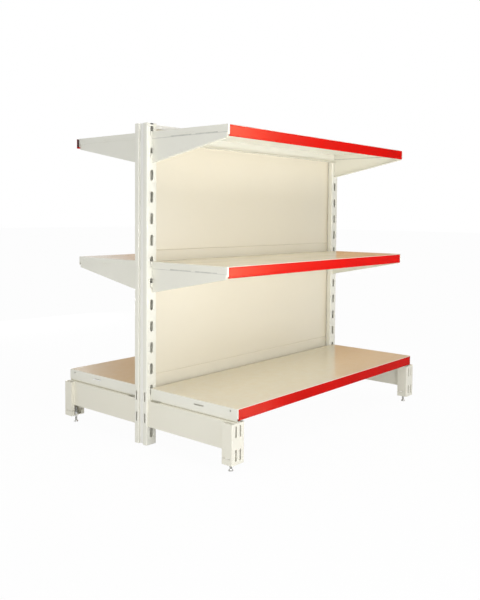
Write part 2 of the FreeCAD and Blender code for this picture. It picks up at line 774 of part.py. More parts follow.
def leg_post(side_name, side, end_name, end):
    """Front post of a leg: lipped channel with two columns of slots and a floor plate for the foot."""
    body = new_body(f"leg_post_{side_name}_{end_name}")
    axis = post_axis(end)
    half = dim.leg_width / 2
    inside = half - dim.leg_wall
    face = from_face(side, dim.leg_reach)
    face_inside = from_face(side, dim.leg_reach - dim.leg_wall)
    rear = from_face(side, dim.leg_reach - dim.leg_depth)
    lip_inside = from_face(side, dim.leg_reach - dim.leg_depth + dim.leg_wall)
    mouth = dim.beam_width / 2
    arm = [(mouth, lip_inside), (mouth, rear), (half, rear), (half, face)]
    hollow = [(inside, face_inside), (inside, lip_inside)]
    outline = [(axis + x, y) for x, y in arm] + [(axis - x, y) for x, y in arm[::-1]]
    outline = outline + [(axis - x, y) for x, y in hollow[::-1]] + [(axis + x, y) for x, y in hollow]
    add_section_up(body, outline, (dim.leg_bottom, dim.leg_top))
    outer_x = [(axis - half).value, (axis + half).value]
    round_edges(body, dim.leg_bend, lambda e: runs_through(e, 2, x=outer_x, y=[face.value]))
    floor_top = dim.leg_bottom + dim.leg_wall
    add_block(body, (axis - inside, axis + inside), (face_inside, lip_inside), (dim.leg_bottom, floor_top))
    foot_y = from_face(side, dim.leg_reach - dim.foot_setback)
    sketch = new_sketch(body, "XY_Plane", floor_top)
    draw_circle(sketch, axis, foot_y, dim.foot_hole_diameter / 2)
    extrude(body, sketch, dim.leg_wall, "Pocket")

    def two_columns(sketch):
        for column in ENDS.values():
            middle = axis + dim.leg_slot_spacing / 2 * column
            draw_upright_slot(sketch, middle, dim.leg_slot_top, dim.slot_height, dim.leg_slot_width)

    tab_low = dim.leg_bottom + dim.leg_tab_slot_rise
    tab_end = rear + dim.leg_tab_slot_length * side
    cut_along_x(body, (axis - half, axis + half), lambda sketch: draw_rectangle(
        sketch, (rear, tab_end), (tab_low, tab_low + dim.leg_tab_slot_height)))
    slots = cut_along_y(body, (face, face_inside), two_columns)
    repeat_down(body, slots, LEG_SLOT_ROWS, dim.slot_pitch)


def foot_place(side, end):
    return post_axis(end), from_face(side, dim.leg_reach - dim.foot_setback)


def levelling_foot(side_name, side, end_name, end):
    """Threaded stud with a round foot, standing on the floor."""
    body = new_body(f"levelling_foot_{side_name}_{end_name}")
    x, y = foot_place(side, end)
    sketch = new_sketch(body, "XY_Plane", as_size(0))
    draw_circle(sketch, x, y, dim.foot_disc_diameter / 2)
    extrude(body, sketch, dim.foot_disc_height)
    rims = (0.0, dim.foot_disc_height.value)
    round_edges(body, dim.foot_disc_round, lambda e: isinstance(e.Curve, Part.Circle)
                and any(abs(e.CenterOfMass.z - z) < TOUCH for z in rims))
    sketch = new_sketch(body, "XY_Plane", dim.foot_disc_height)
    draw_circle(sketch, x, y, dim.foot_stud_diameter / 2)
    extrude(body, sketch, dim.foot_stud_top - dim.foot_disc_height)


# Fasteners: each group of like pieces is one node

def group(label, pieces):
    compound = doc.addObject("Part::Compound", label)
    compound.Label = label
    compound.Links = pieces
    nodes.append(compound)


def hex_nut(name, x, y, low, height):
    """Hexagon nut round a stud."""
    prism = doc.addObject("Part::Prism", f"{name}_hexagon")
    prism.Polygon = 6
    bore = doc.addObject("Part::Cylinder", f"{name}_bore")
    bind(prism, "Circumradius", dim.nut_radius)
    bind(bore, "Radius", dim.foot_stud_diameter / 2 + dim.nut_bore_gap)
    for solid in (prism, bore):
        bind(solid, "Height", height)
        bind(solid, "Placement.Base.x", x)
        bind(solid, "Placement.Base.y", y)
        bind(solid, "Placement.Base.z", low)
    nut = doc.addObject("Part::Cut", name)
    nut.Base = prism
    nut.Tool = bore
    return nut


def foot_nuts():
    """A weld nut on each leg's floor plate and a lock nut under it."""
    weld_nuts = []
    lock_nuts = []
    for side_name, side in SIDES.items():
        for end_name, end in ENDS.items():
            x, y = foot_place(side, end)
            place = f"{side_name}_{end_name}"
            floor_top = dim.leg_bottom + dim.leg_wall
            lock_low = dim.leg_bottom - dim.lock_nut_height
            weld_nuts.append(hex_nut(f"weld_nut_{place}", x, y, floor_top, dim.weld_nut_height))
            lock_nuts.append(hex_nut(f"lock_nut_{place}", x, y, lock_low, dim.lock_nut_height))
    group("weld_nuts", weld_nuts)
    group("lock_nuts", lock_nuts)


def tie_pins():
    """Locating pins, half in the plugs and half in the tie bar."""
    pins = []
    for end_name, end in ENDS.items():
        pin_body = doc.addObject("Part::Cylinder", f"tie_pin_{end_name}")
        bind(pin_body, "Radius", dim.pin_diameter / 2)
        bind(pin_body, "Height", dim.pin_length)
        bind(pin_body, "Placement.Base.x", post_axis(end))
        bind(pin_body, "Placement.Base.z", plug_top() - dim.pin_length / 2)
        pins.append(pin_body)
    group("tie_pins", pins)


def build():
    panel_tiers = {
        "bottom": (plug_top() + dim.tie_height, dim.panel_seam_low),
        "lower": (dim.panel_seam_low, dim.panel_seam_high),
        "upper": (dim.panel_seam_high, dim.post_top - dim.cap_wall),
    }
    upper_levels = {"top": TOP_SHELF_SLOT, "mid": MID_SHELF_SLOT}
    for end_name, end in ENDS.items():
        upright_core(end_name, end)
        core_plug(end_name, end)
    upright_caps()
    tie_bar()
    tie_pins()
    panel_cap()
    foot_nuts()
    for side_name, side in SIDES.items():
        for tier, zs in panel_tiers.items():
            panel_skin(tier, zs, side_name, side)
        base_deck(side_name, side)
        base_stiffener(side_name, side)
        price_strip(side_name, side, "base", dim.base_level, dim.base_reach, dim.base_strip_length,
                    slide=as_size(0))
        for level_name, slot_number in upper_levels.items():
            upper_shelf(side_name, side, level_name, slot_number)
            level = level_height(slot_number)
            is_loose = (side_name, level_name) == LOOSE_STRIP
            slide = dim.loose_strip_slide if is_loose else as_size(0)
            price_strip(side_name, side, level_name, level, dim.upper_reach, dim.strip_length, slide)
        for end_name, end in ENDS.items():
            upright_channel(side_name, side, end_name, end)
            leg_beam(side_name, side, end_name, end)
            leg_hook(side_name, side, end_name, end)
            leg_post(side_name, side, end_name, end)
            levelling_foot(side_name, side, end_name, end)
            for level_name, slot_number in upper_levels.items():
                bracket(side_name, side, level_name, slot_number, end_name, end)


def check():
    """Stops if any object failed, any node is not sound, or any cut removed nothing."""
    for obj in doc.Objects:
        if "Invalid" in obj.State or "Error" in obj.State:
            raise RuntimeError(f"{obj.Label} failed: {obj.State}")
    for node in nodes:
        if node.Shape.isNull() or not node.Shape.isValid():
            raise RuntimeError(f"{node.Label} has no sound shape")
    for cut in cuts:
        before = cut.BaseFeature or cut.Originals[0]
        if cut.Shape.Volume > before.Shape.Volume - LEAST_CUT:
            raise RuntimeError(f"{cut.Label} cuts nothing")


def export():
    os.makedirs("parts", exist_ok=True)
    for node in nodes:
        node.Shape.exportStep(f"parts/{node.Label}.step")


build()
doc.recompute()
check()
export()
print(len(nodes), "nodes")
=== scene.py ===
import math

import bpy
from mathutils import Euler, Matrix, Vector


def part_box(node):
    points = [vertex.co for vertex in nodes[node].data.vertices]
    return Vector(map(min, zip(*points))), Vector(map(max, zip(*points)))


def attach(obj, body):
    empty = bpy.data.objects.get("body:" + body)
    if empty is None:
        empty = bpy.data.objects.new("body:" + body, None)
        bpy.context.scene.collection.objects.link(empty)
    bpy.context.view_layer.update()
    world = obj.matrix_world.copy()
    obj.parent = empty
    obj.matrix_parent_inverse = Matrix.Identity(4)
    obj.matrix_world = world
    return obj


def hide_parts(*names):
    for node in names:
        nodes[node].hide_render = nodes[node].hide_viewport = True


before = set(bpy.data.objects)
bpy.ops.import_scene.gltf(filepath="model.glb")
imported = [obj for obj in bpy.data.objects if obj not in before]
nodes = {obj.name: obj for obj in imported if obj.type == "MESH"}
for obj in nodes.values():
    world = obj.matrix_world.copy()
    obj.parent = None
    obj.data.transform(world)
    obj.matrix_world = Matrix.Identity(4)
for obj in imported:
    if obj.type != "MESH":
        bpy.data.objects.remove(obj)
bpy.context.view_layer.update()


# Uprights. Each is a pair of slotted channels, roll-formed from steel sheet and welded back to back
# on a narrow core. All steel of the bay has a cream powder coat, which flows out glossy with a fine
# orange peel. Faces that point up take a tan, which is partly dust and partly painted warm light.
# The core's coat is paler, as painted light that lifts the shade in its grooves and behind its
# slots.
CREAM = (0.87, 0.86, 0.77, 1)
CREAM_SHADE = (0.84, 0.825, 0.735, 1)
# The paler cream is painted light, for the shaded core and the panels' top rail.
PAINTED_LIGHT_CREAM = (0.92, 0.915, 0.875, 1)
PAINTED_LIGHT_TONE = (0.90, 0.89, 0.845, 1)
# The tan on up-facing faces is partly dust and partly painted warm light.
DUST_AND_WARM_LIGHT = (0.80, 0.68, 0.46, 1)
THIN_DUST_AND_WARM_LIGHT = (0.55, 0.55, 0.55, 1)
DUST_DULLING = 0.06
WIPE_STRETCH = (3.0, 6.0, 3.0)
SHEET_WAVE = 2.0
PEEL_STRENGTH = 0.25
PEEL_DEPTH = 0.00006
COAT_IOR = 1.5
BLACK = (0, 0, 0, 1)
WHITE = (1, 1, 1, 1)


def shader_group(name, inputs, outputs):
    """A new shader node group with float or colour sockets, and its input and output nodes."""
    tree = bpy.data.node_groups.new(name, "ShaderNodeTree")
    for label, kind, value in inputs:
        socket = tree.interface.new_socket(label, in_out="INPUT", socket_type=kind)
        socket.default_value = value
    for label, kind in outputs:
        tree.interface.new_socket(label, in_out="OUTPUT", socket_type=kind)
    return tree, tree.nodes.new("NodeGroupInput"), tree.nodes.new("NodeGroupOutput")


def feed(tree, socket, value):
    """Links the socket to the value where that is another node's socket, and else sets it."""
    if isinstance(value, bpy.types.NodeSocket):
        tree.links.new(value, socket)
    else:
        socket.default_value = value


def add_node(tree, kind, values=None, **settings):
    """A node with its properties set and its inputs fed."""
    node = tree.nodes.new(kind)
    for key, value in settings.items():
        setattr(node, key, value)
    for key, value in (values or {}).items():
        feed(tree, node.inputs[key], value)
    return node


def own_place(tree):
    """The coordinates of the piece itself."""
    return add_node(tree, "ShaderNodeTexCoord").outputs["Object"]


def noise(tree, place, scale, detail, roughness=0.5):
    """A noise pattern over the coordinates."""
    values = {"Vector": place, "Scale": scale, "Detail": detail, "Roughness": roughness}
    return add_node(tree, "ShaderNodeTexNoise", values).outputs["Fac"]


def ramp(tree, value, low, high, at_low=BLACK, at_high=WHITE):
    """A colour that runs from at_low to at_high as the value goes from low to high."""
    node = add_node(tree, "ShaderNodeValToRGB", {"Fac": value})
    first, last = node.color_ramp.elements
    first.position, first.color = low, at_low
    last.position, last.color = high, at_high
    return node.outputs["Color"]


def spread(tree, value, at_start, at_stop, start=0.0, stop=1.0):
    """A number that runs from at_start to at_stop as the value goes from start to stop."""
    values = {"Value": value, "From Min": start, "From Max": stop,
              "To Min": at_start, "To Max": at_stop}
    return add_node(tree, "ShaderNodeMapRange", values).outputs["Result"]


def combine(tree, operation, *terms):
    """What a math node makes of the terms."""
    values = dict(enumerate(terms))
    return add_node(tree, "ShaderNodeMath", values, operation=operation).outputs["Value"]


def mix_colours(tree, share, first, second):
    """The first colour with a share of the second."""
    values = {"Factor": share, "A": first, "B": second}
    return add_node(tree, "ShaderNodeMix", values, data_type="RGBA").outputs["Result"]


def build_powder_film():
    """Cured powder film: uneven tone, dust and painted warm light on what faces up, long wipe marks
    and orange peel.
    """
    tree, start, end = shader_group(
        "powder_film",
        [("Colour", "NodeSocketColor", CREAM), ("Shade", "NodeSocketColor", CREAM_SHADE),
         ("Dust_and_warm_light", "NodeSocketFloat", 0.25), ("Gloss", "NodeSocketFloat", 0.2)],
        [("Colour", "NodeSocketColor"), ("Roughness", "NodeSocketFloat"),
         ("Height", "NodeSocketFloat")])
    given = start.outputs
    place = own_place(tree)
    cloud = ramp(tree, noise(tree, place, scale=2.4, detail=3.0), 0.3, 0.8)
    tone = mix_colours(tree, cloud, given["Colour"], given["Shade"])
    normal = add_node(tree, "ShaderNodeNewGeometry").outputs["Normal"]
    rise = add_node(tree, "ShaderNodeSeparateXYZ", {"Vector": normal}).outputs["Z"]
    upward = ramp(tree, rise, 0.55, 0.95)
    speck = noise(tree, place, scale=38.0, detail=8.0, roughness=0.7)
    # Up-facing faces take the tan: partly dust, partly painted warm light.
    up_facing_tint = combine(tree, "MULTIPLY", upward, ramp(tree, speck, 0.2, 0.6, at_low=THIN_DUST_AND_WARM_LIGHT))
    dust_and_warm_light = combine(tree, "MULTIPLY", up_facing_tint, given["Dust_and_warm_light"])
    feed(tree, end.inputs["Colour"], mix_colours(tree, dust_and_warm_light, tone, DUST_AND_WARM_LIGHT))
    stretched = add_node(tree, "ShaderNodeMapping", {"Vector": place, "Scale": WIPE_STRETCH})
    wipe = noise(tree, stretched.outputs["Vector"], scale=2.5, detail=4.0, roughness=0.55)
    dull = spread(tree, wipe, -0.02, 0.03, start=0.3, stop=0.75)
    rough = combine(tree, "ADD", dull, given["Gloss"])
    dusty_rough = combine(tree, "MULTIPLY_ADD", dust_and_warm_light, DUST_DULLING, rough)
    feed(tree, end.inputs["Roughness"], dusty_rough)
    peel = noise(tree, place, scale=520.0, detail=2.0, roughness=0.4)
    wave = noise(tree, place, scale=9.0, detail=1.0)
    feed(tree, end.inputs["Height"], combine(tree, "MULTIPLY_ADD", wave, SHEET_WAVE, peel))
    return tree


powder_film = build_powder_film()


def new_material(name):
    """An empty node material, its tree and its Principled shader."""
    material = bpy.data.materials.new(name)
    material.use_nodes = True
    return material, material.node_tree, material.node_tree.nodes["Principled BSDF"]


def film_material(name, film_group, values, bump_strength, bump_depth):
    """A material with its colour, roughness and bump from a film group, and its shader."""
    material, tree, skin = new_material(name)
    film = add_node(tree, "ShaderNodeGroup", values, node_tree=film_group)
    bump = add_node(tree, "ShaderNodeBump", {"Strength": bump_strength, "Distance": bump_depth,
                                             "Height": film.outputs["Height"]})
    feed(tree, skin.inputs["Base Color"], film.outputs["Colour"])
    feed(tree, skin.inputs["Roughness"], film.outputs["Roughness"])
    feed(tree, skin.inputs["Normal"], bump.outputs["Normal"])
    return material, skin


def powder_coat(name, colour, shade, dust_and_warm_light, gloss):
    """Powder-coated sheet steel in one of the bay's creams."""
    values = {"Colour": colour, "Shade": shade, "Dust_and_warm_light": dust_and_warm_light, "Gloss": gloss}
    material, skin = film_material(name, powder_film, values, PEEL_STRENGTH, PEEL_DEPTH)
    skin.inputs["IOR"].default_value = COAT_IOR
    return material


def finish_nodes(material, *starts):
    """Gives the material to every CAD node whose name starts in one of these ways."""
    for name, node in nodes.items():
        if name.startswith(starts):
            node.data.materials.clear()
            node.data.materials.append(material)


upright_coat = powder_coat("upright_coat", CREAM, CREAM_SHADE, dust_and_warm_light=0.2, gloss=0.22)
# A paler copy of the coat, as painted light on the core and the panel cap.
painted_light_coat = powder_coat("painted_light_coat", PAINTED_LIGHT_CREAM, PAINTED_LIGHT_TONE, dust_and_warm_light=0.1, gloss=0.22)
finish_nodes(upright_coat, "upright_channel")
finish_nodes(painted_light_coat, "upright_core")


# Tie bar and its plugs. The bar is flat steel that stands on moulded plugs in the feet of the
# cores. Turned pins, zinc plated, keep it in place; all of it is hidden behind the base decks.
# Small moulded caps of the same black plastic close the tops of the channels.
PLUG_BLACK = (0.05, 0.05, 0.05, 1)
PLUG_SHADE = (0.035, 0.035, 0.035, 1)
GRAIN_STRENGTH = 0.3
GRAIN_DEPTH = 0.00005
ZINC_BRIGHT = (0.70, 0.70, 0.69, 1)
ZINC_DULL = (0.46, 0.46, 0.45, 1)
BLOOM_STRENGTH = 0.2
BLOOM_DEPTH = 0.00004
ZINC_METAL = 0.9


def build_mould_skin():
    """Skin of moulded plastic: a slow change of tone and gloss, and the fine texture of the die."""
    tree, start, end = shader_group(
        "mould_skin",
        [("Colour", "NodeSocketColor", PLUG_BLACK), ("Shade", "NodeSocketColor", PLUG_SHADE),
         ("Gloss", "NodeSocketFloat", 0.4)],
        [("Colour", "NodeSocketColor"), ("Roughness", "NodeSocketFloat"),
         ("Height", "NodeSocketFloat")])
    given = start.outputs
    place = own_place(tree)
    cloud = noise(tree, place, scale=14.0, detail=4.0)
    tone = mix_colours(tree, ramp(tree, cloud, 0.3, 0.8), given["Colour"], given["Shade"])
    rough = combine(tree, "ADD", spread(tree, cloud, -0.05, 0.08), given["Gloss"])
    feed(tree, end.inputs["Colour"], tone)
    feed(tree, end.inputs["Roughness"], rough)
    feed(tree, end.inputs["Height"], noise(tree, place, scale=900.0, detail=3.0))
    return tree


mould_skin = build_mould_skin()


def moulded_plastic(name, colour, shade, gloss, shine):
    """Plastic from a mould or a die, with the specular level that its surface has."""
    values = {"Colour": colour, "Shade": shade, "Gloss": gloss}
    material, skin = film_material(name, mould_skin, values, GRAIN_STRENGTH, GRAIN_DEPTH)
    skin.inputs["Specular IOR Level"].default_value = shine
    return material


def zinc_plate(name):
    """Zinc-plated steel, dulled unevenly by handling."""
    material, tree, skin = new_material(name)
    bloom = noise(tree, own_place(tree), scale=160.0, detail=6.0, roughness=0.65)
    tone = ramp(tree, bloom, 0.3, 0.75, at_low=ZINC_BRIGHT, at_high=ZINC_DULL)
    bump = add_node(tree, "ShaderNodeBump", {"Strength": BLOOM_STRENGTH, "Distance": BLOOM_DEPTH,
                                             "Height": bloom})
    feed(tree, skin.inputs["Base Color"], tone)
    feed(tree, skin.inputs["Roughness"], spread(tree, bloom, 0.22, 0.5))
    feed(tree, skin.inputs["Normal"], bump.outputs["Normal"])
    skin.inputs["Metallic"].default_value = ZINC_METAL
    return material


zinc = zinc_plate("zinc_plate")
plug_plastic = moulded_plastic("plug_plastic", PLUG_BLACK, PLUG_SHADE, gloss=0.45, shine=0.5)
finish_nodes(upright_coat, "tie_bar")
finish_nodes(zinc, "tie_pins")
finish_nodes(plug_plastic, "core_plug", "upright_caps")


# Back panels. Shallow folded sheet trays, two skins back to back, stand on each other in the cores'
# mouths. A folded rail caps the top edge. The coat is a warmer cream on these broad sheets, and
# paler on the rail, as painted light for the light from above that the rail lacks.
PANEL_CREAM = (0.84, 0.785, 0.65, 1)
PANEL_SHADE = (0.82, 0.76, 0.62, 1)
panel_coat = powder_coat("panel_coat", PANEL_CREAM, PANEL_SHADE, dust_and_warm_light=0.1, gloss=0.24)
finish_nodes(panel_coat, "back_panel")
finish_nodes(painted_light_coat, "panel_cap")


# Base legs. Each is a folded beam with a slotted front post, and a hook blade that drops into the
# upright's slots. The post's lips are welded to the beam's sides, and the leg is coated afterwards,
# beads and all.
LEG_CREAM = (0.855, 0.83, 0.72, 1)
LEG_SHADE = (0.83, 0.80, 0.685, 1)
leg_coat = powder_coat("leg_coat", LEG_CREAM, LEG_SHADE, dust_and_warm_light=0.05, gloss=0.24)
finish_nodes(leg_coat, "leg_")
MM = 0.001
TOUCH = 0.001 * MM
BEAD_SIDES = 10
BEAD_WAIST = 1.7 * MM
BEAD_SWELL = 1.22
RIPPLE_RISE = 1.0 * MM
RIPPLE_FALL = 0.6 * MM
BEAD_RIPPLES = 44
BEAD_FOOT = 4 * MM
BEAD_OFFSET = 0.6 * MM


def deselect():
    """Deselects everything, so that the next operator acts on its own piece alone."""
    bpy.ops.object.select_all(action="DESELECT")


def pick(piece):
    """Selects one piece alone and makes it active."""
    deselect()
    piece.select_set(True)
    bpy.context.view_layer.objects.active = piece


def close_mesh(smooth_angle):
    """Merges doubles, turns the faces outwards, leaves edit mode and smooths up to the angle."""
    bpy.ops.mesh.select_all(action="SELECT")
    bpy.ops.mesh.remove_doubles(threshold=TOUCH)
    bpy.ops.mesh.normals_make_consistent(inside=False)
    bpy.ops.object.mode_set(mode="OBJECT")
    bpy.ops.object.shade_smooth_by_angle(angle=math.radians(smooth_angle))


def close_ends():
    """Fills the open ends of the mesh that is being edited."""
    bpy.ops.mesh.select_all(action="DESELECT")
    bpy.ops.mesh.select_non_manifold()
    bpy.ops.mesh.edge_face_add()


def copy_piece(source, name, place, turn=0.0, stretch=1.0):
    """A copy of a modelled piece, with a mesh of its own that holds its place."""
    pick(source)
    bpy.ops.object.duplicate()
    piece = bpy.context.object
    piece.name = name
    piece.location = place
    piece.rotation_euler.z = turn
    piece.scale.x = stretch
    bpy.ops.object.transform_apply(location=True, rotation=True, scale=True)
    return piece


def join_pieces(pieces, name):
    """Several like pieces made one object."""
    pick(pieces[0])
    for piece in pieces:
        piece.select_set(True)
    bpy.ops.object.join()
    pieces[0].name = name
    return pieces[0]


def remove_pattern(source):
    """Deletes a piece that only served as the pattern for copies, or as a cutter."""
    pick(source)
    bpy.ops.object.delete()


def dress(piece, material, body):
    """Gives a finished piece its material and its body."""
    piece.data.materials.clear()
    piece.data.materials.append(material)
    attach(piece, body)


def model_weld_bead():
    """One upright weld bead, a chain of ripples, standing on the origin."""
    deselect()
    bpy.ops.mesh.primitive_circle_add(vertices=BEAD_SIDES, radius=BEAD_WAIST)
    bead = bpy.context.object
    bpy.ops.object.mode_set(mode="EDIT")
    for rise, swell in ((RIPPLE_RISE, BEAD_SWELL), (RIPPLE_FALL, 1 / BEAD_SWELL)):
        bpy.ops.mesh.extrude_region_move(TRANSFORM_OT_translate={"value": (0, 0, rise)})
        bpy.ops.transform.resize(value=(swell, swell, 1))
    bpy.ops.object.mode_set(mode="OBJECT")
    bpy.ops.object.modifier_add(type="ARRAY")
    chain = bead.modifiers[-1]
    chain.count = BEAD_RIPPLES
    chain.relative_offset_displace = (0, 0, 1)
    chain.use_merge_vertices = True
    chain.merge_threshold = TOUCH
    bpy.ops.object.modifier_apply(modifier=chain.name)
    bpy.ops.object.mode_set(mode="EDIT")
    close_ends()
    close_mesh(smooth_angle=60)
    return bead


def weld_legs():
    """Beads in the corners between each beam's sides and its post's lips."""
    bead = model_weld_bead()
    beads = []
    for name in list(nodes):
        if name.startswith("leg_beam"):
            beam_low, beam_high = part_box(name)
            post_low, post_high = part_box(name.replace("beam", "post"))
            if beam_low[1] < 0:
                lip = post_high[1] + BEAD_OFFSET
            else:
                lip = post_low[1] - BEAD_OFFSET
            for side in (beam_low[0] - BEAD_OFFSET, beam_high[0] + BEAD_OFFSET):
                place = (side, lip, beam_low[2] + BEAD_FOOT)
                beads.append(copy_piece(bead, "bead", place))
    remove_pattern(bead)
    dress(join_pieces(beads, "leg_weld_beads"), leg_coat, "frame")


weld_legs()


# Levelling feet. A zinc-plated stud with a rolled thread has a turned pad pressed on its lower end.
# It screws through a nut welded over the leg's floor plate, and a lock nut under the plate sets it.
THREAD_PITCH = 1.25 * MM
THREAD_ROOT = 3.35 * MM
THREAD_CREST = 4.0 * MM
CREST_START = 0.45 * THREAD_PITCH
CREST_END = 0.55 * THREAD_PITCH
THREAD_FOOT = 5.6 * MM
THREAD_TURNS = 36
THREAD_STEPS = 20
PAD_OUTLINE = ((0, 0), (6.3, 0), (7.2, 0.5), (7.5, 1.3), (7.5, 2.4), (7.1, 3.2), (6.2, 3.9),
               (5.0, 4.3), (4.8, 4.7), (4.8, 6.0), (4.3, 6.6), (0, 6.6))
PAD_STEPS = 32
NUT_SIDES = 6
NUT_RADIUS = 7.5 * MM
NUT_BORE = 4.05 * MM
NUT_CHAMFER = 0.9 * MM
ROUND_SIDES = 48
END_FACE = 0.9


def draw_line(name, points):
    """A new object in edit mode: a line through the points, extruded from one vertex."""
    deselect()
    bpy.ops.mesh.primitive_plane_add(size=MM)
    piece = bpy.context.object
    piece.name = name
    bpy.ops.object.mode_set(mode="EDIT")
    bpy.ops.mesh.merge(type="CENTER")
    bpy.ops.transform.translate(value=points[0])
    for here, there in zip(points, points[1:]):
        step = Vector(there) - Vector(here)
        bpy.ops.mesh.extrude_region_move(TRANSFORM_OT_translate={"value": step})
    return piece


def model_stud():
    """The threaded stud, its helix wound by a screw from one turn's outline."""
    outline = [(THREAD_ROOT, 0, THREAD_FOOT), (THREAD_CREST, 0, THREAD_FOOT + CREST_START),
               (THREAD_CREST, 0, THREAD_FOOT + CREST_END),
               (THREAD_ROOT, 0, THREAD_FOOT + THREAD_PITCH)]
    stud = draw_line("stud", outline)
    bpy.ops.object.mode_set(mode="OBJECT")
    bpy.ops.object.modifier_add(type="SCREW")
    helix = stud.modifiers[-1]
    helix.angle = 2 * math.pi
    helix.screw_offset = THREAD_PITCH
    helix.iterations = THREAD_TURNS
    helix.steps = THREAD_STEPS
    helix.render_steps = THREAD_STEPS
    bpy.ops.object.modifier_apply(modifier=helix.name)
    bpy.ops.object.mode_set(mode="EDIT")
    bpy.ops.mesh.select_all(action="SELECT")
    bpy.ops.mesh.remove_doubles(threshold=TOUCH)
    close_ends()
    close_mesh(smooth_angle=25)
    return stud


def model_pad():
    """The turned pad and its collar, spun from half their outline."""
    pad = draw_line("pad", [(radius * MM, 0, height * MM) for radius, height in PAD_OUTLINE])
    bpy.ops.mesh.select_all(action="SELECT")
    bpy.ops.mesh.spin(steps=PAD_STEPS, angle=2 * math.pi, center=(0, 0, 0), axis=(0, 0, 1))
    close_mesh(smooth_angle=40)
    return pad


def add_round(sides, radius, depth, middle):
    """A new prism or cylinder with its middle at the given place."""
    deselect()
    bpy.ops.mesh.primitive_cylinder_add(vertices=sides, radius=radius, depth=depth, location=middle)
    return bpy.context.object


def cut_with(piece, operation, cutter):
    """Applies a boolean with the cutter, and deletes the cutter."""
    pick(piece)
    bpy.ops.object.modifier_add(type="BOOLEAN")
    cut = piece.modifiers[-1]
    cut.operation = operation
    cut.object = cutter
    bpy.ops.object.modifier_apply(modifier=cut.name)
    remove_pattern(cutter)


def model_nut(thickness):
    """A hexagon nut on the origin: corners turned off at both faces, and a bore."""
    middle = (0, 0, thickness / 2)
    nut = add_round(NUT_SIDES, NUT_RADIUS, thickness, middle)
    turned = add_round(ROUND_SIDES, NUT_RADIUS, thickness, middle)
    bpy.ops.object.mode_set(mode="EDIT")
    bpy.ops.mesh.select_mode(type="FACE")
    bpy.ops.mesh.select_all(action="DESELECT")
    bpy.ops.object.mode_set(mode="OBJECT")
    for face in turned.data.polygons:
        face.select = abs(face.normal.z) > END_FACE
    bpy.ops.object.mode_set(mode="EDIT")
    bpy.ops.mesh.bevel(offset=NUT_CHAMFER)
    bpy.ops.mesh.select_mode(type="VERT")
    bpy.ops.object.mode_set(mode="OBJECT")
    cut_with(nut, "INTERSECT", turned)
    cut_with(nut, "DIFFERENCE", add_round(ROUND_SIDES, NUT_BORE, 2 * thickness, middle))
    pick(nut)
    bpy.ops.object.transform_apply(location=True)
    bpy.ops.object.mode_set(mode="EDIT")
    close_mesh(smooth_angle=20)
    return nut


def screw_in_feet():
    """A foot on each foot body, and a weld nut and a lock nut on each stud."""
    stations = []
    foot = join_pieces([model_pad(), model_stud()], "foot")
    for name in list(nodes):
        if name.startswith("levelling_foot"):
            low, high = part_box(name)
            station = ((low[0] + high[0]) / 2, (low[1] + high[1]) / 2, low[2])
            stations.append(station)
            piece = copy_piece(foot, name.replace("levelling_foot", "screw_foot"), station)
            dress(piece, zinc, name)
            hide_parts(name)
    remove_pattern(foot)
    for name in ("weld_nuts", "lock_nuts"):
        low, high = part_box(name)
        nut = model_nut(high[2] - low[2])
        nuts = [copy_piece(nut, "nut", (x, y, low[2])) for x, y, _ in stations]
        remove_pattern(nut)
        piece = join_pieces(nuts, "hexagon_" + name)
        dress(piece, zinc, "frame")
        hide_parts(name)


screw_in_feet()


# Shelf brackets. Tapered plates, cut and folded from thicker sheet, with a flange along the lower
# edge. Two hooks on each drop behind the upright's face. The front ones carry a grey line along the
# lower edge of the trays' skirts: a painted shadow of the gap under the skirt.
SKIRT_DEPTH = 21 * MM
# The grey line on the front brackets is painted shadow under the skirts' lower edge.
SHADOW_LINE_HALF = 2.4 * MM
SHADOW_LINE_SOLID = 0.7 * SHADOW_LINE_HALF
SHADOW_LINE_RISE = 0.7 * MM
SHADOW_LINE_GREY = (0.42, 0.42, 0.38, 1)


def paint_skirt_shadow_line(material):
    """Paints a grey shadow line on the brackets' coat along the lower edge of the tray's skirt."""
    tree = material.node_tree
    base_colour = tree.nodes["Principled BSDF"].inputs["Base Color"]
    film_colour = base_colour.links[0].from_socket
    place = own_place(tree)
    height = add_node(tree, "ShaderNodeSeparateXYZ", {"Vector": place}).outputs["Z"]
    lines = []
    for tray in ("shelf_front_top", "shelf_front_mid"):
        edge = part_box(tray)[1][2] - SKIRT_DEPTH + SHADOW_LINE_RISE
        off = combine(tree, "ABSOLUTE", combine(tree, "SUBTRACT", height, edge))
        lines.append(spread(tree, off, 1.0, 0.0, start=SHADOW_LINE_SOLID, stop=SHADOW_LINE_HALF))
    patchy = noise(tree, place, scale=45.0, detail=3.0)
    share = combine(tree, "MULTIPLY", combine(tree, "ADD", *lines), patchy)
    feed(tree, base_colour, mix_colours(tree, share, film_colour, SHADOW_LINE_GREY))


bracket_coat = powder_coat("bracket_coat", CREAM, CREAM_SHADE, dust_and_warm_light=0.15, gloss=0.22)
paint_skirt_shadow_line(bracket_coat)
finish_nodes(bracket_coat, "bracket_front")
finish_nodes(upright_coat, "bracket_rear")


# Shelves and base decks. Folded sheet trays that lie on the brackets and legs, with skirts outside
# them. Their broad decks are the glossiest faces, with wipe marks and the heaviest tan, which is
# partly dust and partly painted warm light.
deck_coat = powder_coat("deck_coat", CREAM, CREAM_SHADE, dust_and_warm_light=0.7, gloss=0.16)
finish_nodes(deck_coat, "shelf_", "base_deck", "base_stiffener")


# Price strips. Red plastic, extruded with a bead along the top, a sunk face and a roll along the
# bottom. Each is pushed up on a tray's front lip, and its roll is slit where the lip's edge goes
# in. The back, which grips the lip, is painted near black as shade.
RED = (0.62, 0.003, 0.001, 1)
RED_SHADE = (0.55, 0.002, 0.001, 1)
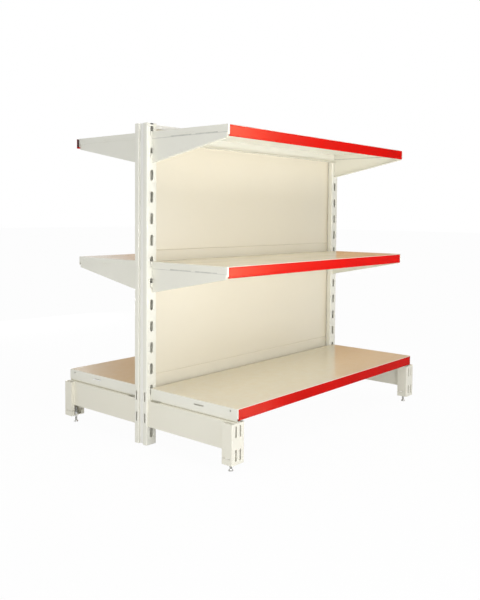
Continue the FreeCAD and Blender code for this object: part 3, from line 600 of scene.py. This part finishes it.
# The near-black on the strips' backs is painted shade.
BACK_PAINTED_SHADE = (0.045, 0.008, 0.012, 1)
BACK_PAINTED_SHADE_TONE = (0.035, 0.006, 0.009, 1)
strip_red = moulded_plastic("strip_red", RED, RED_SHADE, gloss=0.22, shine=0.025)
strip_grip = moulded_plastic("strip_grip", BACK_PAINTED_SHADE, BACK_PAINTED_SHADE_TONE, gloss=0.6, shine=0.2)
STRIP_WALL = 1.8
STRIP_HEIGHT = 31.5
STRIP_EASE = 0.3
BEAD_DEPTH = 2.0
FACE_SINK = 0.6
ROLL_RADIUS = 2.6
ROLL_BORE = 2.1
ROLL_STEP = 15
ROLL_END = -250
FLAT_BACK = 0.995
STRIP_BODIES = {"base": "base_deck_{}", "mid": "shelf_{}_mid", "top": "shelf_{}_top"}


def strip_outline():
    """The strip's closed section in millimetres: out from its back and up from its foot."""
    roll_out = STRIP_WALL - ROLL_RADIUS
    low_bead = 2 * ROLL_RADIUS + BEAD_DEPTH / 2
    top_bead = STRIP_HEIGHT - BEAD_DEPTH
    outline = [(0, STRIP_HEIGHT - STRIP_EASE), (STRIP_EASE, STRIP_HEIGHT),
               (STRIP_WALL - STRIP_EASE, STRIP_HEIGHT), (STRIP_WALL, STRIP_HEIGHT - STRIP_EASE),
               (STRIP_WALL, top_bead), (STRIP_WALL - FACE_SINK, top_bead - FACE_SINK),
               (STRIP_WALL - FACE_SINK, low_bead + FACE_SINK), (STRIP_WALL, low_bead)]
    mouth = math.degrees(math.acos(-roll_out / ROLL_BORE))
    outer = [(ROLL_RADIUS, angle) for angle in range(0, ROLL_END - 1, -ROLL_STEP)]
    inner = [(ROLL_BORE, angle) for angle in range(ROLL_END, int(mouth), ROLL_STEP)]
    for radius, angle in outer + [(ROLL_RADIUS, ROLL_END)] + inner + [(ROLL_BORE, mouth)]:
        out = roll_out + radius * math.cos(math.radians(angle))
        up = ROLL_RADIUS + radius * math.sin(math.radians(angle))
        outline.append((out, up))
    return outline + outline[:1]


def model_strip():
    """One metre of strip along X from the origin, its back on the XZ plane and its face to -Y."""
    strip = draw_line("strip", [(0, -out * MM, up * MM) for out, up in strip_outline()])
    bpy.ops.mesh.select_all(action="SELECT")
    bpy.ops.mesh.remove_doubles(threshold=TOUCH)
    bpy.ops.mesh.edge_face_add()
    bpy.ops.mesh.extrude_region_move(TRANSFORM_OT_translate={"value": (1, 0, 0)})
    close_mesh(smooth_angle=40)
    return strip


def paint_shade_on_back(piece, towards_tray):
    """Gives the strip's flat back, which faces the tray, a near-black material as painted shade."""
    piece.data.materials.append(strip_grip)
    for face in piece.data.polygons:
        if face.normal.y * towards_tray > FLAT_BACK:
            face.material_index = 1


def clip_on_strips():
    """A strip on every tray, in the place of the CAD's strip; returns them as a collection."""
    strip = model_strip()
    strips = bpy.data.collections.new("label_strips")
    for side, towards_tray in (("front", 1), ("rear", -1)):
        for level, body in STRIP_BODIES.items():
            node = "price_strip_{}_{}".format(side, level)
            low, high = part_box(node)
            if side == "front":
                turn = 0.0
                place = (low[0], low[1] + STRIP_WALL * MM, low[2])
            else:
                turn = math.pi
                place = (high[0], high[1] - STRIP_WALL * MM, low[2])
            name = node.replace("price_strip", "label_strip")
            piece = copy_piece(strip, name, place, turn, stretch=high[0] - low[0])
            dress(piece, strip_red, body.format(side))
            paint_shade_on_back(piece, towards_tray)
            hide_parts(node)
            strips.objects.link(piece)
    remove_pattern(strip)
    return strips


label_strips = clip_on_strips()


# Floor and light. A pale matt floor and a white surround, in which reflections also see a warm area
# and a dim one. Soft lamps stand at the front left, above, behind and at the left end, and one lies
# low under the trays. Three more give only glare, two of them on the strips alone.
FLOOR_SIZE = 60
FLOOR_GREY = (0.80, 0.80, 0.795, 1)
FLOOR_ROUGHNESS = 0.9
FLOOR_GLOW = 0.965
FILL_WHITE = (0.97, 0.985, 1.0, 1)
FILL_STRENGTH = 0.60
WARM = (0.60, 0.24, 0.04, 1)
WARM_SIDE = (0.85, 0.35, 0.4)
WARM_RUN = (0.84, 0.865)
DIM = (0.2, 0.2, 0.2, 1)
DIM_SIDE = (0.94, -0.34, 0.0)
DIM_RUN = (0.93, 0.975)


def bright_rays(tree):
    """1 for the rays that show the white surround: camera, glossy and transmission rays."""
    rays = add_node(tree, "ShaderNodeLightPath").outputs
    shiny = combine(tree, "MAXIMUM", rays["Is Camera Ray"], rays["Is Glossy Ray"])
    return combine(tree, "MAXIMUM", shiny, rays["Is Transmission Ray"])


def build_floor():
    """A pale matt floor that shows nearly white and keeps a part of the shadows."""
    deselect()
    bpy.ops.mesh.primitive_plane_add(size=FLOOR_SIZE, location=(0, 0, 0))
    floor = bpy.context.object
    floor.name = "studio_floor"
    material, tree, skin = new_material("studio_floor")
    skin.inputs["Base Color"].default_value = FLOOR_GREY
    skin.inputs["Roughness"].default_value = FLOOR_ROUGHNESS
    skin.inputs["Specular IOR Level"].default_value = 0.0
    glow = add_node(tree, "ShaderNodeEmission", {"Color": WHITE, "Strength": 1.0})
    share = combine(tree, "MULTIPLY", bright_rays(tree), FLOOR_GLOW)
    mix = add_node(tree, "ShaderNodeMixShader", {0: share, 1: skin.outputs["BSDF"],
                                                 2: glow.outputs["Emission"]})
    feed(tree, tree.nodes["Material Output"].inputs["Surface"], mix.outputs["Shader"])
    floor.data.materials.append(material)


def build_world():
    """The surround: a soft fill, which camera and shiny surfaces see as white."""
    world = bpy.data.worlds.new("studio_surround")
    world.use_nodes = True
    bpy.context.scene.world = world
    tree = world.node_tree
    fill = tree.nodes["Background"]
    fill.inputs["Color"].default_value = FILL_WHITE
    fill.inputs["Strength"].default_value = FILL_STRENGTH
    glossy = add_node(tree, "ShaderNodeLightPath").outputs["Is Glossy Ray"]
    place = add_node(tree, "ShaderNodeTexCoord").outputs["Generated"]
    colour = WHITE
    for tint, side, run in ((WARM, WARM_SIDE, WARM_RUN), (DIM, DIM_SIDE, DIM_RUN)):
        towards = add_node(tree, "ShaderNodeVectorMath", {0: place, 1: side},
                           operation="DOT_PRODUCT").outputs["Value"]
        share = combine(tree, "MULTIPLY", ramp(tree, towards, *run), glossy)
        colour = mix_colours(tree, share, colour, tint)
    seen = add_node(tree, "ShaderNodeBackground", {"Color": colour, "Strength": 1.0})
    mix = add_node(tree, "ShaderNodeMixShader", {0: bright_rays(tree),
                                                 1: fill.outputs["Background"],
                                                 2: seen.outputs["Background"]})
    feed(tree, tree.nodes["World Output"].inputs["Surface"], mix.outputs["Shader"])


def soft_lamp(name, place, target, size, power, colour=WHITE[:3], diffuse=True, glossy=True,
              only_on=None):
    """An area lamp that points at the target, unseen by the camera."""
    bpy.ops.object.light_add(type="AREA", location=place)
    lamp = bpy.context.object
    lamp.name = name
    lamp.data.shape = "RECTANGLE"
    lamp.data.size, lamp.data.size_y = size
    lamp.data.energy = power
    lamp.data.color = colour
    lamp.visible_camera = False
    lamp.visible_diffuse = diffuse
    lamp.visible_glossy = glossy
    lamp.rotation_euler = (Vector(target) - Vector(place)).to_track_quat("-Z", "Y").to_euler()
    if only_on:
        lamp.light_linking.receiver_collection = only_on


build_floor()
build_world()
soft_lamp("key_lamp", place=(-0.7, -2.4, 0.6), target=(-0.4, 0, 0.4), size=(0.7, 0.7), power=13.6)
soft_lamp("eye_lamp", place=(-2.0, -1.7, 0.62), target=(-0.4, -0.2, 0.4), size=(0.25, 0.25),
          power=9)
soft_lamp("top_lamp", place=(-0.5, -1.2, 2.3), target=(-0.4, 0, 0.95), size=(0.8, 0.8), power=8.5)
soft_lamp("rear_lamp", place=(0.6, 2.6, 0.2), target=(0.2, 0, 0.4), size=(1.2, 0.3), power=13)
soft_lamp("side_lamp", place=(-1.35, 0.05, 0.3), target=(-0.5, 0.05, 0.25), size=(0.4, 0.4),
          power=0.6, colour=(1.0, 0.93, 0.78))
soft_lamp("glare_lamp", place=(1.6, -2.3, 0.35), target=(-0.4, 0, 0.5), size=(0.6, 0.7),
          power=3.3, diffuse=False)
soft_lamp("bounce_lamp", place=(0.0, -1.0, 0.06), target=(0.0, -1.2, 1.04), size=(1.2, 0.4),
          power=10, glossy=False)
soft_lamp("strip_lamp", place=(1.5, -2.38, 0.85), target=(-0.45, -0.38, 0.7), size=(0.5, 1.8),
          power=400, colour=(1.0, 0.52, 0.3), diffuse=False, only_on=label_strips)
soft_lamp("sheen_lamp", place=(-0.15, -0.8, 0.01), target=(-0.15, -0.8, 1.0), size=(0.45, 0.35),
          power=10, colour=(1.0, 0.72, 0.5), diffuse=False, only_on=label_strips)


# Camera. It stands at the front left, a little over the middle shelf, and looks slightly down.
# The lens axis meets the picture right of and above its middle, which the shift takes up.
FRAME_WIDTH = 480
FRAME_HEIGHT = 600
FOCAL_PIXELS = 705.45
AXIS_PIXEL = (248.0, 250.95)
CAMERA_PLACE = (-1.9582, -1.6426, 0.7151)
CAMERA_YAW = 49.80
CAMERA_PITCH = 2.89
CAMERA_ROLL = 0.498


def build_camera():
    """The camera, from its place, its angles in degrees and its lens in pixels."""
    bpy.ops.object.camera_add(location=CAMERA_PLACE)
    camera = bpy.context.object
    level = Euler((math.radians(90 - CAMERA_PITCH), 0, math.radians(-CAMERA_YAW))).to_matrix()
    roll = Matrix.Rotation(math.radians(CAMERA_ROLL), 3, "Z")
    camera.rotation_euler = (level @ roll).to_euler()
    camera.data.lens = FOCAL_PIXELS * camera.data.sensor_width / FRAME_HEIGHT
    camera.data.shift_x = (FRAME_WIDTH / 2 - AXIS_PIXEL[0]) / FRAME_HEIGHT
    camera.data.shift_y = (AXIS_PIXEL[1] - FRAME_HEIGHT / 2) / FRAME_HEIGHT
    bpy.context.scene.camera = camera


build_camera()
bpy.context.scene.view_settings.view_transform = "Standard"
